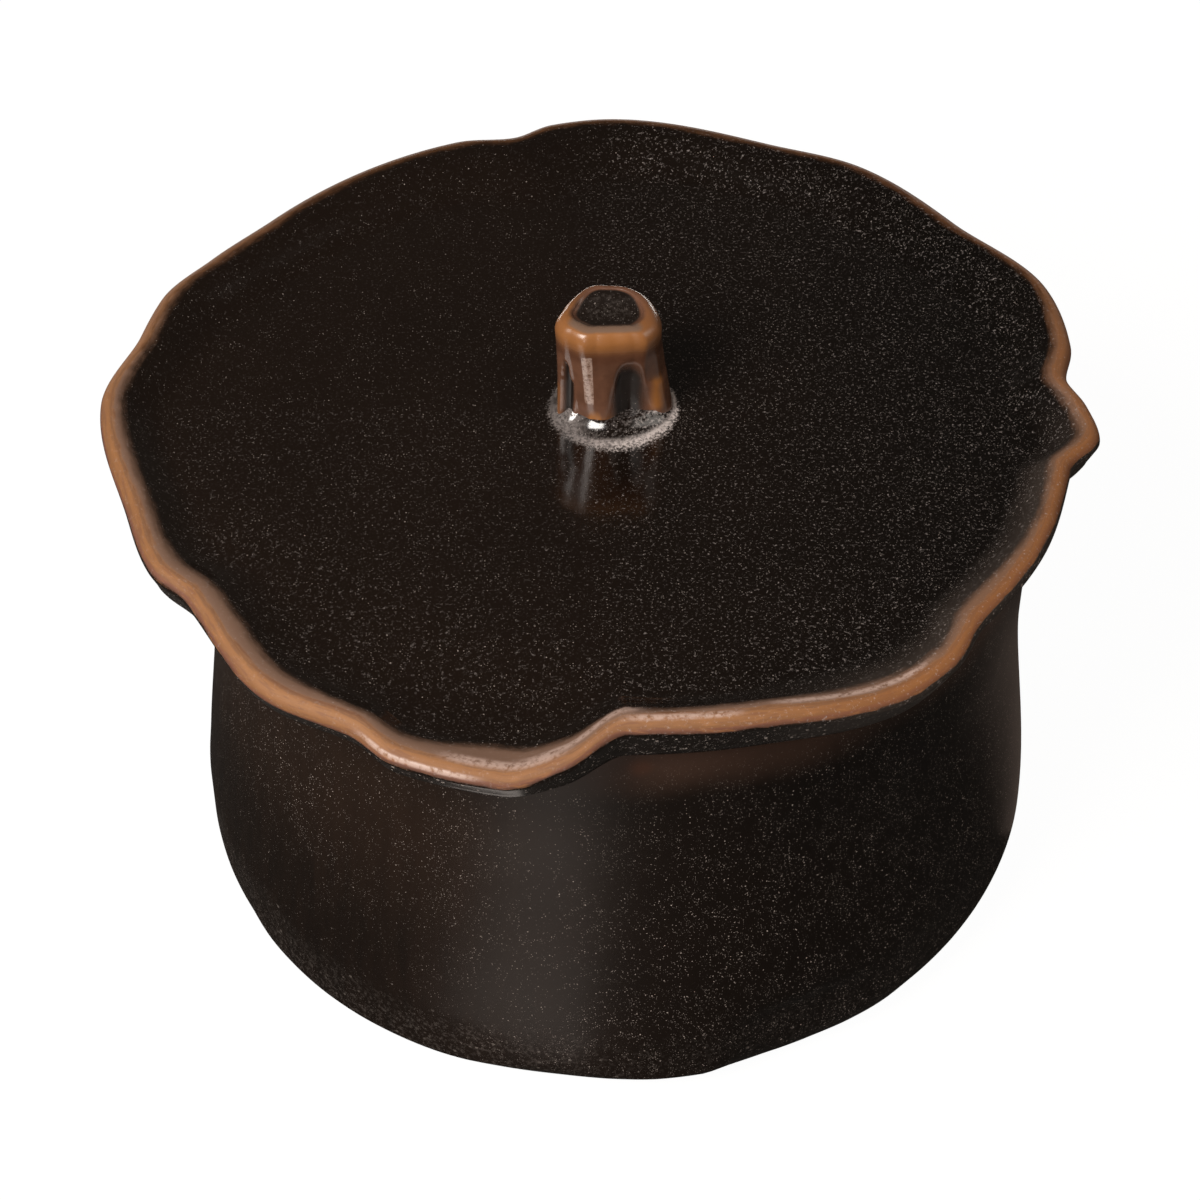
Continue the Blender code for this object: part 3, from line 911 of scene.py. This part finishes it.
class LEAFJAR_OT_leaf(bpy.types.Operator):
    """Cuts the lid: a plate with a wavy leaf edge, a raised lip and glaze pooled round the knob"""

    bl_idname = "leafjar.leaf"
    bl_label = "Leaf lid"

    def execute(self, context):
        sizes, knob = context.scene.leaf_jar.lid, context.scene.leaf_jar.knob
        jar = context.scene.leaf_jar.jar
        self.rim = JAR_HIGH.x - jar.belly_spread
        self.mouth = self.rim - jar.wall
        self.edge = self.rim + sizes.overhang
        self.lip_start = self.edge - 2 * sizes.lip_radius
        # The plate's top takes the leaf's shape from this radius outwards
        self.follow_start = self.rim - 0.0120
        points, places = self.section(sizes)
        bm = turned(points, 720, places)
        for name in ("amber_outer", "amber_inner", "pool", "pale_crest"):
            bm.verts.layers.float.new(name)
        layers = bm.verts.layers.float
        place, outer, inner = layers["place"], layers["amber_outer"], layers["amber_inner"]
        for vertex in bm.verts:
            direction = direction_of(vertex.co.x, vertex.co.y)
            vertex[outer] = vertex[place] + 1000 * AMBER_OUTWARDS(direction)
            vertex[inner] = 1000 * AMBER_INWARDS(direction) - vertex[place]
            vertex[layers["pale_crest"]] = self.pale_crest(direction, vertex[place])
            vertex[layers["pool"]], vertex.co = self.shaped(vertex.co, sizes, knob)
        glaze = lid_glaze(context.scene.leaf_jar.glaze)
        finished(bm, "leaf_lid", glaze, "lid", ["lid_leaf"])
        return {"FINISHED"}

    def section(self, sizes):
        """Section of the lid, and each point's place: millimetres in from the lip's crest."""
        plate, lip = sizes.plate, sizes.plate + sizes.lip_lift
        # The side leans in towards a wide rounding at its foot
        lean, rounding = 0.0005, 0.0033
        side = self.edge - lean
        centre = (self.edge - sizes.lip_radius, lip)
        outer_lip = arc(centre, (sizes.lip_radius, sizes.lip_radius), 90, 0, 24)
        self.crest = centre[0]
        # Rows of points lie closer together under the pooled glaze and on the lip's slope
        pool_start, pool_end = 0.0035, 0.0120
        slope, lip_foot = self.crest - 0.0115, self.crest - 0.0030
        stretches = ((pool_start, 3), (pool_end, 28), (slope, 13), (lip_foot, 18), (self.crest, 14))
        points, start = [], 0.0
        for end, rows in stretches:
            points += line((start, plate), (end, plate), rows)
            start = end
        points += outer_lip
        points += line((self.edge, lip), (side, rounding), 6)[1:]
        points += arc((side - rounding, rounding), (rounding, rounding), 0, -90, 8)
        points += line((side - rounding, 0.0), (self.mouth, 0.0), 4)[1:]
        points += line((self.mouth, 0.0), (0.0, 0.0), 6) + [(0.0, 0.0)]

        crest = points.index(outer_lip[0])
        place = [0.0] * len(points)
        for i in range(crest):
            place[i] = 1000 * (self.crest - points[i][0])
        for i in range(crest + 1, len(points)):
            place[i] = place[i - 1] - 1000 * dist(points[i], points[i - 1])
        return points, place

    def pale_crest(self, direction, place):
        """Strength of the painted highlight at a point of the lip: 1 along each stretch's middle."""
        most = 0.0
        for centre, half_width, at, thickness in CREST_HIGHLIGHT_STRETCHES:
            across = abs((direction - centre + 180) % 360 - 180)
            along = ease((half_width - across) / 4.0 + 0.5)
            most = max(most, along * ease(1.3 - abs(place - at) / thickness))
        return most

    def shaped(self, point, sizes, knob):
        """A turned point drawn to the leaf edge, with the pooled glaze raised round the knob."""
        x, y, z = point
        radius = hypot(x, y)
        hair = 0.00001
        if radius < hair:
            return 0.0, Vector((x, y, LID_BASE + z))
        direction = direction_of(x, y)
        if radius < self.crest - hair and z > sizes.plate / 2:
            rise = sizes.lip_lift + sizes.lip_radius
            z += rise * (1.0 - ease((self.crest - radius) / SLOPE_WIDTH(direction)))
        height = min(z / (sizes.plate + sizes.lip_lift), 1.0)
        if z > sizes.plate / 2:
            follow = ease((radius - self.follow_start) / (self.lip_start - self.follow_start))
        else:
            follow = clamped((radius - self.mouth) / (self.lip_start - self.mouth))
        reach = LEAF_REACH(direction) - LEAF_UNDERCUT(direction) * (1.0 - height)
        # A lobe's rise or droop bends the whole edge, its foot least
        rise = LEAF_RISE(direction) * height ** 0.5
        # A hair inwards, which keeps the finer outline inside the solid
        within = 0.00016
        scale = 1.0 + (sizes.overhang * reach - within) * follow / radius
        x, y, z = x * scale, y * scale, z + sizes.overhang * rise * follow
        near_knob = radius < 0.014 and height > 0.6
        pool = self.pooled(x, y, sizes, knob) if near_knob else 0.0
        # The pooled glaze rises steeply at the knob, and runs on a little under it
        return pool, Vector((x, y, LID_BASE + z + sizes.pool_height * min(pool, 1.1) ** 3.2))

    def pooled(self, x, y, sizes, knob):
        """How near the knob a point lies: 0 at the pooled glaze's edge, 1 at the knob's foot."""
        x, y = x - KNOB_SHIFT[0], y - KNOB_SHIFT[1]
        radius, direction = hypot(x, y), direction_of(x, y)
        # The outline of the knob's foot, made rounder
        foot = (knob.radius + knob.flare) * (0.35 * KNOB_FOOT(direction) + 0.58)
        # The pool is a circle about a point of its own, met here by a ray from the knob's axis
        along = (x * POOL_SHIFT[0] + y * POOL_SHIFT[1]) / max(radius, 0.0001)
        across = sizes.pool_radius ** 2 - POOL_SHIFT[0] ** 2 - POOL_SHIFT[1] ** 2
        edge = along + (across + along * along) ** 0.5
        narrowest = 0.0008
        return max((edge - radius) / (edge - min(foot, edge - narrowest)), 0.0)


class LEAFJAR_OT_ring(bpy.types.Operator):
    """Turns the ring of bare clay under the lid, which drops into the jar's mouth"""

    bl_idname = "leafjar.ring"
    bl_label = "Lid ring"

    def execute(self, context):
        wall, rounding, gap = 0.0035, 0.0010, 0.0001
        outer, low, top = RING_HIGH.x, RING_LOW.z, LID_BASE - gap
        inner = outer - wall
        points = line((outer, top), (outer, low + rounding), 10)
        points += arc((outer - rounding, low + rounding), (rounding, rounding), 0, -90, 6)
        points += arc((inner + rounding, low + rounding), (rounding, rounding), -90, -180, 6)[1:]
        points += line((inner, low + rounding), (inner, top), 10)[1:] + [(inner, top), (outer, top)]
        bm = turned(points, 288)
        material = bare_clay(context.scene.leaf_jar.glaze)
        finished(bm, "clay_seat_ring", material, "lid", ["lid_ring"])
        return {"FINISHED"}


class LEAFJAR_OT_knob(bpy.types.Operator):
    """Carves the knob: a leaning stem with ridges, hollows and a dished top"""

    bl_idname = "leafjar.knob"
    bl_label = "Knob"

    def execute(self, context):
        sizes = context.scene.leaf_jar.knob
        tall = KNOB_HIGH.z - KNOB_LOW.z
        base = LID_BASE + context.scene.leaf_jar.lid.plate
        # The rim is rounded outwards over rounding by drop, and inwards over the narrower lip
        rounding, drop, lip = sizes.rim_rounding, 1.2 * sizes.rim_rounding, 0.0008
        crest, shoulder = sizes.radius - rounding, tall - drop
        dish, sag, dish_step = tall - sizes.dish, 0.0002, 0.0003
        points = line((0.0, dish - sag), (crest - lip - dish_step, dish), 10)
        points += arc((crest, tall - lip), (lip, lip), 160, 90, 8)[:-1]
        points += arc((crest, shoulder), (rounding, drop), 90, 0, 18)
        rows = 48
        for row in range(1, rows + 1):
            share = row / rows
            points.append((sizes.radius + sizes.flare * share ** 2, shoulder * (1 - share)))
        points += [(sizes.radius * 0.5, 0.0), (0.0, 0.0)]
        place = [self.rim_place(radius, height, crest, lip, tall) for radius, height in points]
        bm = turned(points, 288, place)
        for name in ("hollow", "amber", "ash", "bevel", "dish"):
            bm.verts.layers.float.new(name)
        layers = bm.verts.layers.float
        for vertex in bm.verts:
            direction = direction_of(vertex.co.x, vertex.co.y)
            height, rim = vertex.co.z / tall, vertex[layers["place"]]
            marks = {"hollow": 0.0, "amber": 0.0, "ash": 0.0}
            for finish, strength, *where in KNOB_MARKS:
                mark = strength * self.mark(direction, height, *where)
                marks[finish] = max(marks[finish], mark)
            groove = marks["hollow"] if height < KNOB_RIM_START else 0.0
            in_dish = ease(-rim / 0.5)
            # The rim is amber, less so at the back, and its inner edge carries a painted highlight in
            # front
            front = max(0.42 + 0.58 * cos(radians(direction - AMBER_FRONT)), 0.0)
            marks["amber"] = max(marks["amber"], front * ease(rim) * ease((3.0 - rim) / 1.4))
            marks["hollow"] = max(groove, in_dish)
            marks["dish"] = in_dish
            front = ease((cos(radians(direction - RIM_HIGHLIGHT_FRONT)) - 0.3) / 0.5)
            marks["bevel"] = front * ease((1.25 - rim) / 0.3) * ease(1.0 + rim / 0.5)
            for finish, amount in marks.items():
                vertex[layers[finish]] = amount
            vertex.co = self.carved(vertex.co, sizes, tall, base, groove)
        glaze = knob_glaze(context.scene.leaf_jar.glaze)
        finished(bm, "stem_knob", glaze, "lid", ["knob"])
        return {"FINISHED"}

    def rim_place(self, radius, height, crest, lip, tall):
        """Where a point of the section lies on the rim: below 0 in the dish, 1 on the crest, 2 near
        the end of the rounding, and above that down the stem."""
        if height > tall * KNOB_RIM_START and radius < crest:
            return 1.0 - (crest - radius) / lip
        rounding_height = 0.0022
        return 1.0 + (tall - height) / rounding_height

    def mark(self, direction, height, centre, half_width, low, high, soft):
        """How strongly a mark shows at a point: 1 in its middle, fading to 0 past its edges."""
        # The marks run straight down the leaning stem, so they turn by a few degrees round its axis
        across = abs((direction - centre - 6.0 * (height - 0.7) + 180) % 360 - 180)
        # Those that run out at the foot have an arched top
        arch = 0.3 * min(across / half_width, 1.0) ** 3 if low < 0 else 0.0
        top = high - arch * high
        side = ease((half_width - across) / soft + 0.5)
        return side * ease((top - height) / (0.01 * soft) + 0.5) * ease((height - low) / 0.08 + 0.5)

    def carved(self, point, sizes, tall, base, groove):
        """A turned point drawn to the ridges and hollows, leaned and stood on the lid."""
        direction = direction_of(point.x, point.y)
        height = point.z / tall
        foot, top = KNOB_FOOT(direction), KNOB_TOP(direction)
        groove_depth = 0.15
        share = foot + (top - foot) * ease(height) - groove_depth * groove
        x = point.x * share + KNOB_SHIFT[0] - sizes.lean * height
        y = point.y * share + KNOB_SHIFT[1]
        # The dish is drawn to the back, where it is shallower and its rim thinner
        dish_radius, drawn = 0.0062, 0.0012
        inside = clamped(1.0 - (hypot(point.x, point.y) / dish_radius) ** 2)
        inside = inside if height > KNOB_RIM_START else 0.0
        back = ease((point.y + 0.001) / 0.004) * ease(inside / 0.3)
        height = 1.0 - (1.0 - height) * (1.0 - 0.75 * back)
        z = base + (KNOB_HIGH.z - base) * height
        return Vector((x, y + drawn * inside, z))


def area_light(name, place, aim, size, power, colour):
    """A soft box at a place, turned to face a point, which the camera itself doesn't see."""
    data = bpy.data.lights.new(name, "AREA")
    data.shape = "RECTANGLE"
    data.size, data.size_y = size
    data.energy = power
    data.color = colour
    lamp = bpy.data.objects.new(name, data)
    lamp.location = place
    lamp.rotation_euler = (Vector(aim) - Vector(place)).to_track_quat("-Z", "Y").to_euler()
    lamp.visible_camera = False
    bpy.context.scene.collection.objects.link(lamp)


class LEAFJAR_OT_studio(bpy.types.Operator):
    """Sets up the floor, the white background, the soft lights and the camera"""

    bl_idname = "leafjar.studio"
    bl_label = "Studio"

    def execute(self, context):
        settings = context.scene.leaf_jar.studio
        scene = context.scene
        self.make_floor(settings)
        self.make_world(settings)
        top = (0.0, 0.0, 0.06)
        high, low, right = (-0.373, -0.414, 0.562), (-0.235, -0.746, 0.216), (0.754, -0.133, 0.70)
        area_light("high_soft_box", high, top, (0.34, 0.34), 7.6, (1.0, 0.955, 0.91))
        area_light("low_soft_box", low, top, (0.15, 0.29), 0.72, (1.0, 0.95, 0.91))
        area_light("right_card", right, top, (0.60, 0.60), 2.4, (1.0, 0.92, 0.84))
        # It stays below the lid, whose slopes would mirror it, and lights the back of the jar
        back, aim = (-0.06, 0.60, 0.032), (0.0, 0.0, 0.032)
        area_light("back_low_box", back, aim, (0.90, 0.05), 2.0, (1.0, 0.94, 0.88))
        # The wall mirrors this card on the table as its broad highlight
        card = Vector((-0.0235, -0.096, 0.001))
        aim = card + Vector((0.0, 0.0, 1.0))
        area_light("table_card", card, aim, (0.034, 0.056), 0.0068, (1.0, 0.88, 0.80))
        # The wall mirrors this one along its right edge. The slight lean of its aim turns its long
        # side to 40 degrees off the X axis, as that mirror image needs
        card = Vector((0.078, 0.025, 0.001))
        aim = card + Vector((0.077, 0.064, 1.0))
        area_light("right_edge_card", card, aim, (0.044, 0.080), 0.0025, (1.0, 0.74, 0.60))

        data = bpy.data.cameras.new("studio_camera")
        data.sensor_width = 36.0
        data.lens = settings.lens
        camera = bpy.data.objects.new("studio_camera", data)
        camera.location = (-0.0024, -0.3226, 0.3534)
        camera.rotation_euler = (pi / 2 - settings.pitch, 0.0, 0.0)
        scene.collection.objects.link(camera)
        scene.camera = camera
        scene.view_settings.view_transform = "Standard"
        return {"FINISHED"}

    def make_floor(self, settings):
        """A dull floor that the camera sees as bright as the background."""
        bm = bmesh.new()
        bmesh.ops.create_grid(bm, x_segments=1, y_segments=1, size=3.0)
        mesh = bpy.data.meshes.new("pale_floor")
        bm.to_mesh(mesh)
        bm.free()
        bench = Bench(bpy.data.materials.new("Pale floor"))
        seen = bench.add("ShaderNodeLightPath", out="Is Camera Ray")
        material = bench.finish(
            Base_Color=settings.floor,
            Roughness=0.9,
            Emission_Color=bench.mixed(seen, (0.0, 0.0, 0.0), settings.background),
            Emission_Strength=0.97,
            Specular_IOR_Level=0.0,
        )
        mesh.materials.append(material)
        floor = bpy.data.objects.new("pale_floor", mesh)
        bpy.context.scene.collection.objects.link(floor)

    def make_world(self, settings):
        """Dim warm light from all round, which the camera sees as the white background."""
        bench = Bench(bpy.data.worlds.new("studio_air"), "Background")
        seen = bench.add("ShaderNodeLightPath", out="Is Camera Ray")
        air = bench.mixed(seen, (0.060, 0.051, 0.044), settings.background)
        bpy.context.scene.world = bench.finish(Color=air)


class LEAFJAR_PT_panel(bpy.types.Panel):
    """Sizes, colours and builders of the jar"""

    bl_idname = "LEAFJAR_PT_panel"
    bl_label = "Leaf Lid Jar"
    bl_space_type = "VIEW_3D"
    bl_region_type = "UI"
    bl_category = "Leaf Lid Jar"

    def draw(self, context):
        for title in LeafJarSettings.__annotations__:
            group = getattr(context.scene.leaf_jar, title)
            box = self.layout.box()
            box.label(text=title.capitalize())
            for name in group.__annotations__:
                box.prop(group, name)
        for operator in OPERATORS:
            self.layout.operator(operator.bl_idname)


OPERATORS = (
    LEAFJAR_OT_pot,
    LEAFJAR_OT_foot,
    LEAFJAR_OT_leaf,
    LEAFJAR_OT_ring,
    LEAFJAR_OT_knob,
    LEAFJAR_OT_studio,
)
CLASSES = (
    JarSizes,
    LidSizes,
    KnobSizes,
    GlazeColours,
    StudioSettings,
    LeafJarSettings,
    *OPERATORS,
    LEAFJAR_PT_panel,
)


def register():
    for made in CLASSES:
        bpy.utils.register_class(made)
    bpy.types.Scene.leaf_jar = PointerProperty(type=LeafJarSettings)


def unregister():
    del bpy.types.Scene.leaf_jar
    for made in reversed(CLASSES):
        bpy.utils.unregister_class(made)


def main():
    """Builds every piece and the studio."""
    register()
    bpy.ops.leafjar.pot()
    bpy.ops.leafjar.foot()
    bpy.ops.leafjar.leaf()
    bpy.ops.leafjar.ring()
    bpy.ops.leafjar.knob()
    bpy.ops.leafjar.studio()


if __name__ == "__main__":
    main()
